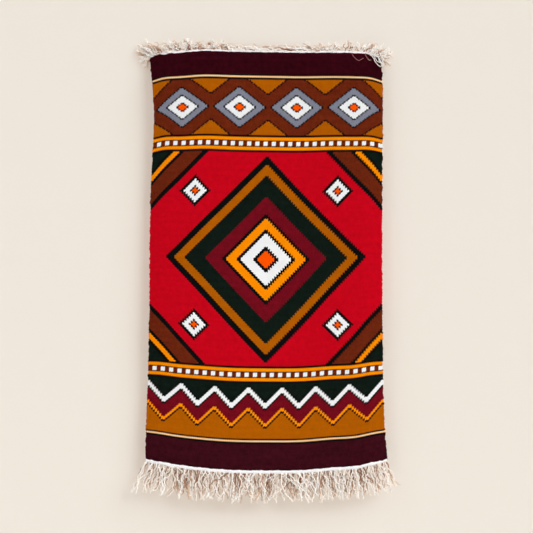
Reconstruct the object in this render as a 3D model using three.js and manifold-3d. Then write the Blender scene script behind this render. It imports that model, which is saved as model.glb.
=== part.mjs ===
/**
 * A woven wool tapestry, a wall hanging with a cotton fringe at both ends.
 *
 * Units are millimetres. X runs across the cloth, to the right of someone who faces it.
 * Y runs from the front of the cloth to the wall behind it, and Z runs up.
 * The origin is on the back of the cloth, at the middle of its top edge, where it is held up.
 *
 * A place on the cloth is given by two numbers: `across`, from -1 at the left selvedge to 1 at
 * the right one, and `down`, the drop below the top edge at the middle. Headings and fringes
 * carry on along the same curves, above a drop of 0 and below the full drop.
 */
import * as THREE from "three";
import { mergeVertices } from "three/addons/utils/BufferGeometryUtils.js";
import Module from "manifold-3d";

// Driving sizes of the woven pieces.
const CLOTH_DROP = 895;
const CLOTH_THICKNESS = 2.4;
const HEADING_HEIGHT = { top: 5, bottom: 9 };
const HEADING_THICKNESS = 3;
const PIECE_GAP = 0.3;

// How finely each piece is faceted.
const CLOTH_CELLS = { across: 20, down: 34 };
const STRIP_CELLS = 20;
const SLOPE_STEP = 0.5;

// Driving sizes of the fringes: each is a comb of locks of strands on a narrow spine.
const SPINE_HEIGHT = 3;
const LOCK_WIDTH = { root: 2.4, tip: 12.5 };
const LOCK_DEPTH = 2.8;
const LOCK_STEPS = 3;
const LOCKS = 36;
const LOCK_MARGIN = 0.996;

// Where the two selvedges run, from the top edge to the bottom one.
const SELVEDGES = [
  { down: 0, left: -250.5, right: 247.5 },
  { down: 50, left: -244.5, right: 250 },
  { down: 117, left: -240.5, right: 250.5 },
  { down: 184, left: -242, right: 250 },
  { down: 290, left: -247, right: 249.5 },
  { down: 360, left: -249, right: 249.3 },
  { down: 545, left: -250, right: 249.5 },
  { down: 706, left: -253, right: 250.8 },
  { down: 787, left: -256.5, right: 252.5 },
  { down: 854, left: -257.7, right: 256.5 },
  { down: 895, left: -258.3, right: 259.5 },
];

// How far each edge rises or drops from its own middle. The weft lines bow in between.
const EDGE_BOWS = [
  { across: -1, top: -12, bottom: 23 },
  { across: -0.9, top: -4.5, bottom: 19.5 },
  { across: -0.75, top: -1.5, bottom: 13 },
  { across: -0.55, top: 2.5, bottom: 6.5 },
  { across: -0.3, top: 1.2, bottom: 1.5 },
  { across: 0, top: 0, bottom: 0 },
  { across: 0.3, top: -1, bottom: 0.7 },
  { across: 0.55, top: -1, bottom: 6.5 },
  { across: 0.75, top: -2, bottom: 10.5 },
  { across: 0.9, top: -5, bottom: 19 },
  { across: 1, top: -13, bottom: 24 },
];

// How far the cloth stands out in front of the origin: it leans back to the wall at its top.
const STAND_OUT = [
  { down: -40, out: -6 },
  { down: -12, out: -4 },
  { down: 0, out: 0 },
  { down: 12, out: 6.5 },
  { down: 30, out: 11.5 },
  { down: 60, out: 14.5 },
  { down: 150, out: 15 },
  { down: 300, out: 12.5 },
  { down: 450, out: 14.5 },
  { down: 620, out: 17 },
  { down: 760, out: 14.5 },
  { down: 895, out: 17.5 },
  { down: 975, out: 14 },
];

// Broad waves of the cloth: how far each stretch of its width stands out, high up and low down.
const WAVES = [
  { across: -1, high: -7, low: -9 },
  { across: -0.86, high: -2, low: -3.5 },
  { across: -0.6, high: 1.2, low: 0.5 },
  { across: -0.25, high: 0.6, low: 1.8 },
  { across: 0, high: 0, low: 0 },
  { across: 0.3, high: -1.2, low: -1 },
  { across: 0.6, high: 1, low: 1.6 },
  { across: 0.85, high: 1.5, low: 3.5 },
  { across: 1, high: -2, low: 1 },
];

// How long the locks are, and how far they lean outwards from straight up or straight down.
const TOP_LOCKS = [
  { across: -1, length: 29, lean: -84, back: 3 },
  { across: -0.94, length: 31, lean: -52, back: 4 },
  { across: -0.86, length: 26, lean: -26, back: 5 },
  { across: -0.75, length: 22, lean: -9, back: 5 },
  { across: -0.4, length: 21, lean: -3, back: 6 },
  { across: -0.1, length: 12, lean: 2, back: 7 },
  { across: 0.4, length: 10, lean: 2, back: 7 },
  { across: 0.8, length: 15, lean: 12, back: 6 },
  { across: 0.93, length: 25, lean: 48, back: 4 },
  { across: 1, length: 31, lean: 80, back: 3 },
];
const BOTTOM_LOCKS = [
  { across: -1, length: 62, lean: -25, back: 5 },
  { across: -0.88, length: 60, lean: -15, back: 3 },
  { across: -0.7, length: 60, lean: -5, back: 2 },
  { across: 0, length: 57, lean: 0, back: 1 },
  { across: 0.7, length: 59, lean: 5, back: 2 },
  { across: 0.88, length: 59, lean: 14, back: 3 },
  { across: 1, length: 60, lean: 21, back: 5 },
];
// Locks sway sideways along the row, end unevenly, and those of the top fringe droop.
const LOCK_SWAY = 5;
const SWAY_PACE = 1.9;
const UNEVENNESS = 0.05;
const UNEVEN_PACE = 2.7;
const TOP_DROOP = 0.6;

const MATERIALS = {
  wool: { color: 0x4a0c16, roughness: 0.95, metalness: 0 },
  cotton: { color: 0xf1ece2, roughness: 0.9, metalness: 0 },
  strands: { color: 0xe9dfcf, roughness: 0.92, metalness: 0 },
};

const wasm = await Module();
wasm.setup();

/** A smooth curve through one column of a table, read at any value of its key column. */
function curveThrough(rows, key, column) {
  const keys = rows.map((row) => row[key]);
  const values = rows.map((row) => row[column]);
  const interpolant = new THREE.CubicInterpolant(keys, values, 1);
  return (at) => {
    const clamped = THREE.MathUtils.clamp(at, keys[0], keys[keys.length - 1]);
    return interpolant.evaluate(clamped)[0];
  };
}

const leftSelvedge = curveThrough(SELVEDGES, "down", "left");
const rightSelvedge = curveThrough(SELVEDGES, "down", "right");
const topBow = curveThrough(EDGE_BOWS, "across", "top");
const bottomBow = curveThrough(EDGE_BOWS, "across", "bottom");
const standOut = curveThrough(STAND_OUT, "down", "out");
const highWave = curveThrough(WAVES, "across", "high");
const lowWave = curveThrough(WAVES, "across", "low");

/** The point on the back of the cloth at a place on it. */
function backPoint(across, down) {
  const share = THREE.MathUtils.clamp(down / CLOTH_DROP, 0, 1);
  const left = leftSelvedge(down);
  const right = rightSelvedge(down);
  const x = THREE.MathUtils.lerp(left, right, (across + 1) / 2);
  const bow = THREE.MathUtils.lerp(topBow(across), bottomBow(across), share);
  const wave = THREE.MathUtils.lerp(highWave(across), lowWave(across), share);
  return new THREE.Vector3(x, -(standOut(down) + wave), bow - down);
}

/** The direction that faces out of the front of the cloth at a place on it. */
function facing(across, down) {
  const nudge = SLOPE_STEP / CLOTH_DROP;
  const rightwards = backPoint(across + nudge, down).sub(backPoint(across - nudge, down));
  const upwards = backPoint(across, down - SLOPE_STEP).sub(backPoint(across, down + SLOPE_STEP));
  return rightwards.cross(upwards).normalize();
}

/** Keeps a geometry's positions alone, with each shared corner stored once. */
function closedShell(geometry) {
  geometry.deleteAttribute("normal");
  geometry.deleteAttribute("uv");
  const merged = mergeVertices(geometry);
  merged.computeVertexNormals();
  return merged;
}

/** A sheet that follows the cloth between two drops, from its back to its front. */
function clothSheet({ from, to, thickness, cellsAcross, cellsDown }) {
  const height = to - from;
  const box = new THREE.BoxGeometry(2, thickness, height, cellsAcross, 1, cellsDown);
  const corners = box.attributes.position;
  for (let i = 0; i < corners.count; i += 1) {
    const across = corners.getX(i);
    const down = from + height / 2 - corners.getZ(i);
    const lift = thickness / 2 - corners.getY(i);
    const point = backPoint(across, down).addScaledVector(facing(across, down), lift);
    corners.setXYZ(i, point.x, point.y, point.z);
  }
  return closedShell(box);
}

/** A closed shell as a solid that can be joined to others. */
function solidOf(geometry) {
  return new wasm.Manifold(
    new wasm.Mesh({
      numProp: 3,
      vertProperties: new Float32Array(geometry.attributes.position.array),
      triVerts: new Uint32Array(geometry.index.array),
    }),
  );
}

/** A joined solid as a geometry again. */
function geometryOf(solid) {
  const mesh = solid.getMesh();
  const geometry = new THREE.BufferGeometry();
  geometry.setAttribute("position", new THREE.BufferAttribute(mesh.vertProperties, 3));
  geometry.setIndex(new THREE.BufferAttribute(mesh.triVerts, 1));
  geometry.computeVertexNormals();
  return geometry;
}

/** The curve of a lock that leaves its root upwards or downwards and then droops. */
function lockRoute({ root, length, lean, back, sway, upwards }) {
  const start = THREE.MathUtils.degToRad(lean + sway);
  const end = THREE.MathUtils.degToRad(lean - sway / 2);
  const rise = upwards ? 1 : -1;
  const droop = upwards ? TOP_DROOP * length * (1 - Math.cos(end)) : 0;
  const middle = new THREE.Vector3(Math.sin(start), 0, rise * Math.cos(start));
  const tip = new THREE.Vector3(Math.sin(end), 0, rise * Math.cos(end));
  middle.multiplyScalar(length / 2).add(root);
  tip.multiplyScalar(length).add(root);
  middle.add(new THREE.Vector3(0, back / 3, -droop / 4));
  tip.add(new THREE.Vector3(0, back, -droop));
  return new THREE.CatmullRomCurve3([root, middle, tip]);
}

/** A flat lock of strands along a curve, a little wider at its tip than at its root. */
function lock(route) {
  const box = new THREE.BoxGeometry(1, LOCK_DEPTH, 1, 1, 1, LOCK_STEPS);
  const corners = box.attributes.position;
  const backwards = new THREE.Vector3(0, 1, 0);
  for (let i = 0; i < corners.count; i += 1) {
    const share = 0.5 - corners.getZ(i);
    const tangent = route.getTangent(share);
    const sideways = backwards.clone().cross(tangent.negate()).normalize();
    const width = THREE.MathUtils.lerp(LOCK_WIDTH.root, LOCK_WIDTH.tip, share);
    const point = route.getPoint(share).addScaledVector(sideways, corners.getX(i) * width);
    corners.setXYZ(i, point.x, point.y + corners.getY(i), point.z);
  }
  return closedShell(box);
}

/** A fringe: locks in a row, rooted in a spine that follows the edge of the heading. */
function fringeComb({ table, from, to, rootDown, upwards }) {
  const lengthAt = curveThrough(table, "across", "length");
  const leanAt = curveThrough(table, "across", "lean");
  const backAt = curveThrough(table, "across", "back");
  const thickness = HEADING_THICKNESS;
  let comb = solidOf(clothSheet({ from, to, thickness, cellsAcross: STRIP_CELLS, cellsDown: 1 }));
  for (let i = 0; i < LOCKS; i += 1) {
    const across = THREE.MathUtils.lerp(-LOCK_MARGIN, LOCK_MARGIN, i / (LOCKS - 1));
    const root = backPoint(across, rootDown).addScaledVector(facing(across, rootDown), thickness / 2);
    const sway = LOCK_SWAY * Math.sin(SWAY_PACE * i);
    const length = lengthAt(across) * (1 + UNEVENNESS * Math.sin(UNEVEN_PACE * i));
    const lean = leanAt(across);
    const back = backAt(across);
    comb = comb.add(solidOf(lock(lockRoute({ root, length, lean, back, sway, upwards }))));
  }
  return geometryOf(comb);
}

/** A named mesh with its own material. */
function piece(name, geometry, finish) {
  const mesh = new THREE.Mesh(geometry, new THREE.MeshStandardMaterial(MATERIALS[finish]));
  mesh.name = name;
  return mesh;
}

/** The woven body, from its top edge to its bottom edge. */
function tapestryCloth() {
  const thickness = CLOTH_THICKNESS;
  const cellsAcross = CLOTH_CELLS.across;
  const cellsDown = CLOTH_CELLS.down;
  return clothSheet({ from: 0, to: CLOTH_DROP, thickness, cellsAcross, cellsDown });
}

/** A white woven heading beyond one end of the body. */
function heading(from, to) {
  return clothSheet({ from, to, thickness: HEADING_THICKNESS, cellsAcross: STRIP_CELLS, cellsDown: 1 });
}

const headingTop = -PIECE_GAP - HEADING_HEIGHT.top;
const spineTop = headingTop - PIECE_GAP - SPINE_HEIGHT;
const headingBottom = CLOTH_DROP + PIECE_GAP + HEADING_HEIGHT.bottom;
const spineBottom = headingBottom + PIECE_GAP + SPINE_HEIGHT;

const tapestry = new THREE.Group();
tapestry.add(
  piece("tapestry_cloth", tapestryCloth(), "wool"),
  piece("heading_top", heading(headingTop, -PIECE_GAP), "cotton"),
  piece("heading_bottom", heading(CLOTH_DROP + PIECE_GAP, headingBottom), "cotton"),
  piece(
    "fringe_top",
    fringeComb({
      table: TOP_LOCKS,
      from: spineTop,
      to: headingTop - PIECE_GAP,
      rootDown: spineTop + SPINE_HEIGHT / 2,
      upwards: true,
    }),
    "strands",
  ),
  piece(
    "fringe_bottom",
    fringeComb({
      table: BOTTOM_LOCKS,
      from: headingBottom + PIECE_GAP,
      to: spineBottom,
      rootDown: spineBottom - SPINE_HEIGHT / 2,
      upwards: false,
    }),
    "strands",
  ),
);

export default tapestry;
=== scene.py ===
"""A woven wool tapestry with cotton headings and fringes, hung flat in front of a pale wall.

The wool cloth is one thin sheet in the shape in which it hangs, with a rib for each warp. Its
colours are worked out bead by bead, a bead being one pass of weft over one warp, so that edges
step as they do on a loom. White headings close its ends, and the warps run on as fringes.
Sizes are in millimetres until a mesh is written, and Blender's own lengths are in metres.
"""

import logging
import math
from collections.abc import Callable, Sequence
from dataclasses import dataclass
from enum import Enum

import bmesh
import bpy
import numpy as np
from bmesh.types import BMesh
from bpy.types import ID, Material, Mesh, Node, NodeSocket, Object, World
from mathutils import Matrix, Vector


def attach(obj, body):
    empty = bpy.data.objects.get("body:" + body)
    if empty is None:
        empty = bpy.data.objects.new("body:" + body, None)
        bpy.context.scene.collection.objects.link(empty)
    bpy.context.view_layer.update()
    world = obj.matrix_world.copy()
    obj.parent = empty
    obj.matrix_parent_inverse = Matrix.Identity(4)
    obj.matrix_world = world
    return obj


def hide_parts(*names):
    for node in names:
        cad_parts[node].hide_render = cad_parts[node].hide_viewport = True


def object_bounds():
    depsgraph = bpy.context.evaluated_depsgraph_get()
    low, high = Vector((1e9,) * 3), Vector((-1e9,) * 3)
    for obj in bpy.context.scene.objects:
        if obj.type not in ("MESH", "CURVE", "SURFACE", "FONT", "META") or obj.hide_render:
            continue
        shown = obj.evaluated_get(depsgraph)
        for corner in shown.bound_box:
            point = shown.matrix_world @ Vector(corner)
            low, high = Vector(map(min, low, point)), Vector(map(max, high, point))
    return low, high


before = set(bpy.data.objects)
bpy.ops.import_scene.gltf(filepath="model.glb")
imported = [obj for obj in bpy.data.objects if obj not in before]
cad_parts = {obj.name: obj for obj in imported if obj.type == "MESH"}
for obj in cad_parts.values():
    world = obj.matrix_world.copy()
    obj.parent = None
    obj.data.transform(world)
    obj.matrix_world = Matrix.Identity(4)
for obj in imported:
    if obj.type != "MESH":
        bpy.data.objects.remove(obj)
CAD_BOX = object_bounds()

Array = np.ndarray
Chance = np.random.Generator

LOG = logging.getLogger("tapestry")
MM = 0.001
FULL_TURN = 2 * math.pi
# Points of a thread that are no further apart than this, in metres, become one.
TOUCHING = 1e-7
BODY = "root"
WEAVE_MAP = "weave"
STRAND_MAP = "strand"


# ---------------------------------------------------------------- small helpers


def table(columns: str, *rows: Sequence[float]) -> dict[str, Array]:
    """Lays a short table out by column.

    Args:
        columns: The columns' names, with spaces between.
        rows: The rows, each with a number for every column.

    Returns:
        The columns by name.
    """
    return dict(zip(columns.split(), np.array(rows, float).T))


def curve_through(keys: Array, values: Array, at: Array) -> Array:
    """Reads a smooth curve through points.

    Args:
        keys: The points' keys, rising.
        values: The points' values.
        at: Where it is read; beyond the ends the last value holds.

    Returns:
        The curve's values.
    """
    at = np.clip(np.asarray(at, float), keys[0], keys[-1])
    chords = np.diff(values) / np.diff(keys)
    slopes = np.concatenate([chords[:1], (chords[:-1] + chords[1:]) / 2, chords[-1:]])
    i = np.clip(np.searchsorted(keys, at, side="right") - 1, 0, len(keys) - 2)
    width = keys[i + 1] - keys[i]
    t = (at - keys[i]) / width
    rise = (3 - 2 * t) * t * t
    start = t * (1 - t) ** 2 * width * slopes[i]
    end = t * t * (1 - t) * width * slopes[i + 1]
    return values[i] * (1 - rise) + values[i + 1] * rise + start - end


def read(rows: dict[str, Array], column: str, at: Array) -> Array:
    """Reads a table's column as a smooth curve over the table's first column."""
    return curve_through(next(iter(rows.values())), rows[column], at)


def linear(channel: float) -> float:
    """Takes the standard display curve off a colour channel from 0 to 255."""
    share = channel / 255
    return share / 12.92 if share <= 0.04045 else ((share + 0.055) / 1.055) ** 2.4


def colour(red: float, green: float, blue: float) -> tuple[float, float, float, float]:
    """A colour that is given as it shows, 0 to 255 a channel, as the linear one that nodes take."""
    return linear(red), linear(green), linear(blue), 1.0


def new_object(name: str, data: ID) -> Object:
    """Puts a mesh, curve, lamp or camera in the scene, at the origin."""
    obj = bpy.data.objects.new(name, data)
    bpy.context.scene.collection.objects.link(obj)
    return obj


def dressed(name: str, mesh: Mesh, material: Material) -> Object:
    """Gives a finished mesh its material and smooth shading, and puts it in the scene."""
    mesh.materials.append(material)
    mesh.polygons.foreach_set("use_smooth", [True] * len(mesh.polygons))
    return new_object(name, mesh)


# ---------------------------------------------------------------- shader expressions


def operator(operation: str, reflected: bool = False) -> Callable[["Term", "Term | float"], "Term"]:
    """Makes a Python operator of Term that adds a Math node.

    Args:
        operation: The node's operation.
        reflected: Whether the other value comes first in it.

    Returns:
        The operator's method.
    """

    def method(value: "Term", other: "Term | float") -> "Term":
        """The node's result for the value and the other one."""
        pair = (other, value) if reflected else (value, other)
        return value.nodes.math(operation, *pair)

    return method


class Term:
    """A value in a material. Python operators on it and on numbers add Math nodes."""

    __add__ = __radd__ = operator("ADD")
    __sub__ = operator("SUBTRACT")
    __rsub__ = operator("SUBTRACT", reflected=True)
    __mul__ = __rmul__ = operator("MULTIPLY")
    __truediv__ = operator("DIVIDE")
    __mod__ = operator("FLOORED_MODULO")
    __pow__ = operator("POWER")
    __lt__ = operator("LESS_THAN")
    at_least = operator("MAXIMUM")

    def __init__(self, nodes: "Nodes", socket: NodeSocket) -> None:
        """Wraps an output socket of a node tree."""
        self.nodes = nodes
        self.socket = socket

    def __abs__(self) -> "Term":
        """This without its sign."""
        return self.nodes.math("ABSOLUTE", self)

    def floor(self) -> "Term":
        """The whole number at or below this."""
        return self.nodes.math("FLOOR", self)

    def within(self, low: float, high: float) -> "Term":
        """1 from low up to high, and 0 elsewhere."""
        return (1 - (self < low)) * (self < high)

    def clipped(self) -> "Term":
        """This held between 0 and 1."""
        return self.nodes.result("ShaderNodeClamp", [self])

    def from_middle(self) -> "Term":
        """How far this is from the middle of its unit: 0 there, and 1 at whole numbers."""
        return abs(self % 1 - 0.5) * 2


class Nodes:
    """A node tree that is built from expressions."""

    # A Mix node's sockets for colours, which share their names with those for numbers.
    MIX_BELOW = 6
    MIX_ABOVE = 7
    MIX_RESULT = 2

    def __init__(self, owner: "Material | World") -> None:
        """Empties the tree of a material or a world, to be filled."""
        owner.use_nodes = True
        self.tree = owner.node_tree
        self.tree.nodes.clear()

    def node(self, kind: str, inputs: "dict | Sequence" = (), **settings: object) -> Node:
        """Adds any node.

        Args:
            kind: The node's type.
            inputs: Values, dyes or links for its sockets, by name or number, or in order.
            settings: Its properties.

        Returns:
            The node.
        """
        node = self.tree.nodes.new(kind)
        for key, value in settings.items():
            setattr(node, key, value)
        pairs = inputs.items() if isinstance(inputs, dict) else enumerate(inputs)
        for key, value in pairs:
            if isinstance(value, Term):
                value = value.socket
            elif isinstance(value, Enum):
                value = value.value
            if isinstance(value, NodeSocket):
                self.tree.links.new(value, node.inputs[key])
            else:
                node.inputs[key].default_value = value
        return node

    def result(
        self, kind: str, inputs: "dict | Sequence" = (), output: "int | str" = 0, **settings: object
    ) -> Term:
        """Adds any node and takes one of its outputs as a value."""
        return Term(self, self.node(kind, inputs, **settings).outputs[output])

    def math(self, operation: str, *values: "Term | float") -> Term:
        """Adds a Math node."""
        return self.result("ShaderNodeMath", values, operation=operation)

    def steps(self, value: Term, stops: Sequence[tuple], grain: float = 1.0) -> Term:
        """A colour chosen by a value in steps.

        Args:
            value: What the choice goes by.
            stops: Each step's first value and dye, rising from 0.
            grain: The least difference between two of the value's levels.

        Returns:
            The colour.
        """
        length = stops[-1][0] + 1
        node = self.node("ShaderNodeValToRGB", [value / length])
        node.color_ramp.interpolation = "CONSTANT"
        first, last = node.color_ramp.elements
        first.color = stops[0][1].value
        last.color = stops[-1][1].value
        for start, dye in stops[1:]:
            place = (start - grain / 2) / length
            node.color_ramp.elements.new(place).color = dye.value
        return Term(self, node.outputs[0])

    def mix(self, share: Term, below: "Term | tuple | Enum", above: "Term | tuple | Enum") -> Term:
        """A colour between two others, the second where share is 1."""
        inputs = {0: share, self.MIX_BELOW: below, self.MIX_ABOVE: above}
        return self.result("ShaderNodeMix", inputs, self.MIX_RESULT, data_type="RGBA")

    def shaded(self, tint: Term, strength: Term) -> Term:
        """A colour made lighter or darker by a factor."""
        inputs = {"Vector": tint, "Scale": strength}
        return self.result("ShaderNodeVectorMath", inputs, operation="SCALE")

    def place(self, x: "Term | float", y: "Term | float", z: "Term | float" = 0.0) -> Term:
        """Three values as one place, for a texture to read."""
        return self.result("ShaderNodeCombineXYZ", [x, y, z])

    def noise(self, place: Term, scale: float = 1.0, detail: float = 3.0) -> Term:
        """A soft noise from 0 to 1 over a place."""
        inputs = {"Vector": place, "Scale": scale, "Detail": detail}
        return self.result("ShaderNodeTexNoise", inputs)

    def lightness(self, tint: Term) -> Term:
        """How light a colour is, from 0 for black to 1 for white."""
        return self.result("ShaderNodeRGBToBW", [tint])

    def chance(self, place: Term) -> Term:
        """An even random number from 0 to 1 for each place."""
        return self.result("ShaderNodeTexWhiteNoise", [place], noise_dimensions="3D")

    def blend(self, share: Term, first: Node, second: Node) -> Node:
        """A shader between those of two nodes, the second where share is 1."""
        inputs = {0: share, 1: first.outputs[0], 2: second.outputs[0]}
        return self.node("ShaderNodeMixShader", inputs)

    def map_place(self, name: str) -> tuple[Term, Term]:
        """The two values of a UV map."""
        source = self.result("ShaderNodeUVMap", uv_map=name)
        parts = self.node("ShaderNodeSeparateXYZ", [source])
        return Term(self, parts.outputs[0]), Term(self, parts.outputs[1])

    def seen(self) -> Term:
        """1 for rays that show a backdrop, as seen, mirrored or through glass."""
        path = self.node("ShaderNodeLightPath")
        rays = [path.outputs[f"Is {kind} Ray"] for kind in ("Camera", "Glossy", "Transmission")]
        camera, glossy, through = (Term(self, ray) for ray in rays)
        return (camera + glossy + through).clipped()


class Shader(Nodes):
    """A material's node tree, with a Principled surface."""

    def __init__(self, name: str) -> None:
        """Starts a material with that name."""
        self.material = bpy.data.materials.new(name)
        super().__init__(self.material)
        self.surface = self.node("ShaderNodeBsdfPrincipled")
        self.output = self.node("ShaderNodeOutputMaterial", [self.surface.outputs[0]])

    def relief(self, height: Term, depth: float) -> None:
        """Lets a height from 0 to 1 bend the surface's light, as deep as that many metres."""
        node = self.node("ShaderNodeBump", {"Distance": depth, "Height": height})
        self.tree.links.new(node.outputs[0], self.surface.inputs["Normal"])

    def finish(self, tint: Term, roughness: float, specular: float) -> Material:
        """Sets the surface and hands the material over.

        Args:
            tint: The base colour.
            roughness: The roughness all over.
            specular: The specular level all over.

        Returns:
            The material.
        """
        self.tree.links.new(tint.socket, self.surface.inputs["Base Color"])
        self.surface.inputs["Roughness"].default_value = roughness
        self.surface.inputs["Specular IOR Level"].default_value = specular
        return self.material


# ---------------------------------------------------------------- the cloth's form


@dataclass(frozen=True)
class ClothForm:
    """The shape in which the cloth hangs, the same as its solid's.

    It is `drop` long and `width` wide, with a rib for each warp and `rows` rows of weft. A place
    on it is `across`, from -1 at the left selvedge to 1 at the right one, and `down`, the drop
    below the top edge. Headings and fringes carry on above 0 and below the full drop. The left
    selvedge is drawn in a little from the solid's edge. Slopes are measured over a `nudge`.
    """

    drop: float = 895.0
    width: float = 500.0
    thickness: float = 2.4
    ribs: int = 224
    rows: int = 389
    drawn_in: float = 1.4
    nudge: float = 0.5

    SELVEDGES = table(
        "down left right",
        (0, -250.5, 247.5), (50, -244.5, 250), (117, -240.5, 250.5), (184, -242, 250),
        (290, -247, 249.5), (360, -249, 249.3), (545, -250, 249.5), (706, -253, 250.8),
        (787, -256.5, 252.5), (854, -257.7, 256.5), (895, -258.3, 259.5),
    )
    EDGE_BOWS = table(
        "across top bottom",
        (-1, -12, 23), (-0.9, -4.5, 19.5), (-0.75, -1.5, 13), (-0.55, 2.5, 6.5),
        (-0.3, 1.2, 1.5), (0, 0, 0), (0.3, -1, 0.7), (0.55, -1, 6.5),
        (0.75, -2, 10.5), (0.9, -5, 19), (1, -13, 24),
    )
    STAND_OUT = table(
        "down out",
        (-40, -6), (-12, -4), (0, 0), (12, 6.5), (30, 11.5), (60, 14.5), (150, 15),
        (300, 12.5), (450, 14.5), (620, 17), (760, 14.5), (895, 17.5), (975, 14),
    )
    WAVES = table(
        "across high low",
        (-1, -7, -9), (-0.86, -2, -3.5), (-0.6, 1.2, 0.5), (-0.25, 0.6, 1.8), (0, 0, 0),
        (0.3, -1.2, -1), (0.6, 1, 1.6), (0.85, 1.5, 3.5), (1, -2, 1),
    )

    def back(self, across: Array, down: Array) -> Array:
        """Works out points on the back of the cloth.

        Args:
            across: Their places across it.
            down: Their places down it.

        Returns:
            The points, as rows of three.
        """
        share = np.clip(down / self.drop, 0, 1)
        left = read(self.SELVEDGES, "left", down) + self.drawn_in
        right = read(self.SELVEDGES, "right", down)
        x = left + (right - left) * (across + 1) / 2
        top = read(self.EDGE_BOWS, "top", across)
        bottom = read(self.EDGE_BOWS, "bottom", across)
        high = read(self.WAVES, "high", across)
        low = read(self.WAVES, "low", across)
        y = -(read(self.STAND_OUT, "out", down) + high + (low - high) * share)
        z = top + (bottom - top) * share - down
        return np.stack([x, y, z], axis=-1)

    def points(self, across: Array, down: Array, lift: "Array | float") -> Array:
        """Works out points in front of the cloth's back, straight out of it.

        Args:
            across: Their places across it.
            down: Their places down it.
            lift: How far they stand in front of it.

        Returns:
            The points, as rows of three.
        """
        side = self.nudge / self.drop
        rightwards = self.back(across + side, down) - self.back(across - side, down)
        upwards = self.back(across, down - self.nudge) - self.back(across, down + self.nudge)
        out = np.cross(rightwards, upwards)
        out /= np.linalg.norm(out, axis=-1, keepdims=True)
        return self.back(across, down) + out * np.broadcast_to(lift, np.shape(across))[..., None]


FORM = ClothForm()


def write_mesh(bm: BMesh, mesh: Mesh) -> Mesh:
    """Writes shaped geometry into a mesh, and frees it."""
    bm.to_mesh(mesh)
    bm.free()
    return mesh


@dataclass
class Slab:
    """A flat slab that is shaped over the cloth.

    Each of its vertices has a share across from -1 to 1, a share down from 0 to 1, and is in
    front or behind.
    """

    columns: int
    rows: int

    def __post_init__(self) -> None:
        """Makes the flat slab."""
        bm = bmesh.new()
        bmesh.ops.create_grid(bm, x_segments=self.columns, y_segments=self.rows, size=1.0)
        bmesh.ops.solidify(bm, geom=bm.faces[:], thickness=1.0)
        low = min(vert.co.z for vert in bm.verts)
        bmesh.ops.translate(bm, verts=bm.verts[:], vec=(0, 0, -low))
        bmesh.ops.recalc_face_normals(bm, faces=bm.faces[:])
        self.mesh = write_mesh(bm, bpy.data.meshes.new("slab"))
        places = np.zeros(len(self.mesh.vertices) * 3, np.float32)
        self.mesh.vertices.foreach_get("co", places)
        self.across, upwards, forwards = places.reshape(-1, 3).astype(float).T
        self.downwards = (1 - upwards) / 2
        self.front = forwards > 0.5

    def laid(self, across: Array, down: Array, lift: Array) -> Mesh:
        """Shapes the slab, and marks each vertex's place on the cloth in the weave's UV map.

        Args:
            across: Where each vertex goes across the cloth.
            down: Where it goes down the cloth.
            lift: How far it stands in front of the cloth's back.

        Returns:
            The shaped mesh.
        """
        corners = np.zeros(len(self.mesh.loops), np.int32)
        self.mesh.loops.foreach_get("vertex_index", corners)
        marks = (self.across[corners] + 1) / 2, down[corners] / FORM.drop
        write_map(self.mesh, WEAVE_MAP, *marks)
        points = FORM.points(across, down, lift) * MM
        self.mesh.vertices.foreach_set("co", points.astype(np.float32).ravel())
        self.mesh.update()
        return self.mesh


def write_map(mesh: Mesh, name: str, u: Array, v: Array) -> None:
    """Writes a UV map from a value of each kind for every face corner."""
    layer = mesh.uv_layers.new(name=name)
    layer.uv.foreach_set("vector", np.stack([u, v], axis=1).astype(np.float32).ravel())


def joined(name: str, meshes: Sequence[Mesh]) -> Mesh:
    """Makes one mesh of several that have the same UV map.

    Args:
        name: The new mesh's name.
        meshes: The meshes.

    Returns:
        The new mesh.
    """
    bm = bmesh.new()
    for mesh in meshes:
        bm.from_mesh(mesh)
    return write_mesh(bm, bpy.data.meshes.new(name))


def threads(
    name: str, routes: Array, radii: Array, map_name: str, shades: Array, length: float = 1.0
) -> Mesh:
    """Makes round threads, drawn to a point at their ends and closed there.

    Args:
        name: The mesh's name.
        routes: Their points in millimetres, as threads by steps by three.
        radii: Their radii in millimetres, as threads by steps.
        map_name: The UV map that marks them.
        shades: Each thread's value across the map.
        length: The value up the map at the threads' ends, from 0 at their starts.

    Returns:
        The mesh.
    """
    steps = radii.shape[1]
    curve = bpy.data.curves.new(name, "CURVE")
    curve.dimensions = "3D"
    curve.bevel_depth = MM
    curve.bevel_resolution = 1
    ends = np.ones(steps)
    ends[[0, -1]] = 0.0
    for route, radius in zip(routes, radii * ends):
        spline = curve.splines.new("POLY")
        spline.points.add(steps - 1)
        flat = np.concatenate([route * MM, np.ones((steps, 1))], axis=1)
        spline.points.foreach_set("co", flat.astype(np.float32).ravel())
        spline.points.foreach_set("radius", radius.astype(np.float32))
    carrier = new_object(name, curve)
    mesh = bpy.data.meshes.new_from_object(carrier)
    bpy.data.objects.remove(carrier)
    spots = np.zeros(len(mesh.loops) * 2, np.float32)
    mesh.uv_layers[0].uv.foreach_get("vector", spots)
    mesh.uv_layers.remove(mesh.uv_layers[0])
    thread = np.arange(len(mesh.loops)) // (len(mesh.loops) // len(routes))
    along = spots.reshape(-1, 2)[:, 0].astype(float)
    write_map(mesh, map_name, shades[thread], along * length)
    bm = bmesh.new()
    bm.from_mesh(mesh)
    bmesh.ops.remove_doubles(bm, verts=bm.verts[:], dist=TOUCHING)
    return write_mesh(bm, mesh)


# ---------------------------------------------------------------- the wool's pattern


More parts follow.
